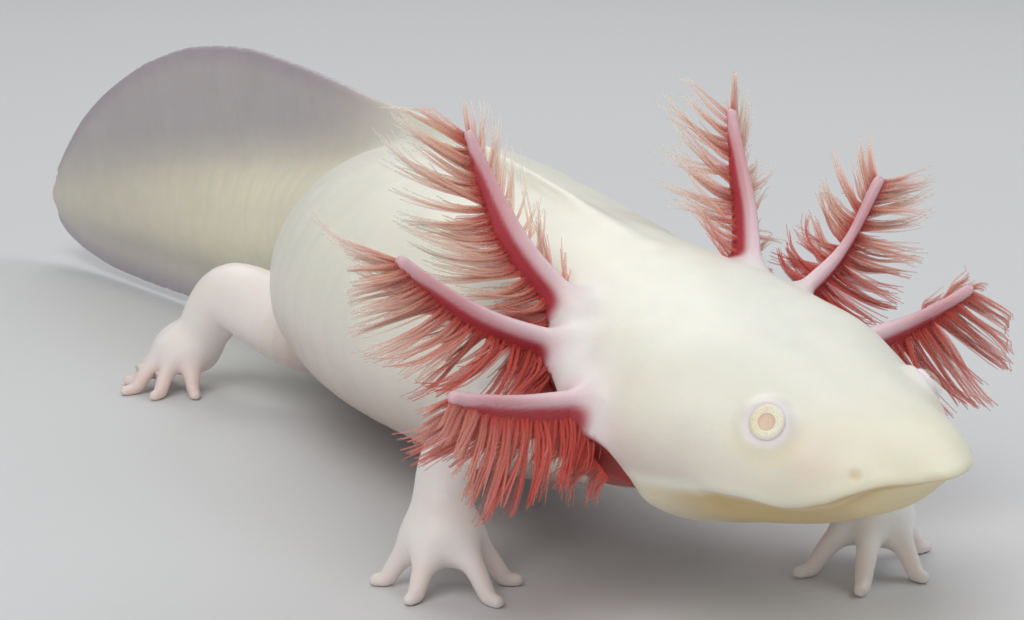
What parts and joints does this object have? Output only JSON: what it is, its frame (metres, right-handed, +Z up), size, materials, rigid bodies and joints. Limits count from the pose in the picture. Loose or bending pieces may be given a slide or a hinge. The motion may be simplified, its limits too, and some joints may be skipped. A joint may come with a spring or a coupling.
{
  "type": "albino axolotl",
  "caption": "Life-size albino axolotl standing on splayed feet, head turned to its left, feathery red gills raised and a tall fin along the tail.",
  "frame": {"origin": "on the floor, under the middle of the bounding box", "axes": "+Z up, -Y the way the trunk walks, +X to the animal's left"},
  "size_m": [0.0819, 0.2258, 0.0511],
  "materials": {
    "skin": "smooth, moist",
    "fin": "smooth, moist, thin enough to let light through",
    "gill": "smooth, moist",
    "eye": "clear and glossy"
  },
  "bodies": {
    "root": {"dorsal_fin": "fin", "eye_left": "eye", "eye_right": "eye", "foot_left": "skin", "foot_right": "skin", "forearm_left": "skin", "forearm_right": "skin", "gill_left_bottom": "gill", "gill_left_middle": "gill", "gill_left_top": "gill", "gill_right_bottom": "gill", "gill_right_middle": "gill", "gill_right_top": "gill", "hand_left": "skin", "hand_right": "skin", "head": "skin", "lower_jaw": "skin", "neck": "skin", "shank_left": "skin", "shank_right": "skin", "tail": "skin", "tail_fin": "fin", "thigh_left": "skin", "thigh_right": "skin", "trunk": "skin", "upper_arm_left": "skin", "upper_arm_right": "skin"}
  },
  "joints": []
}
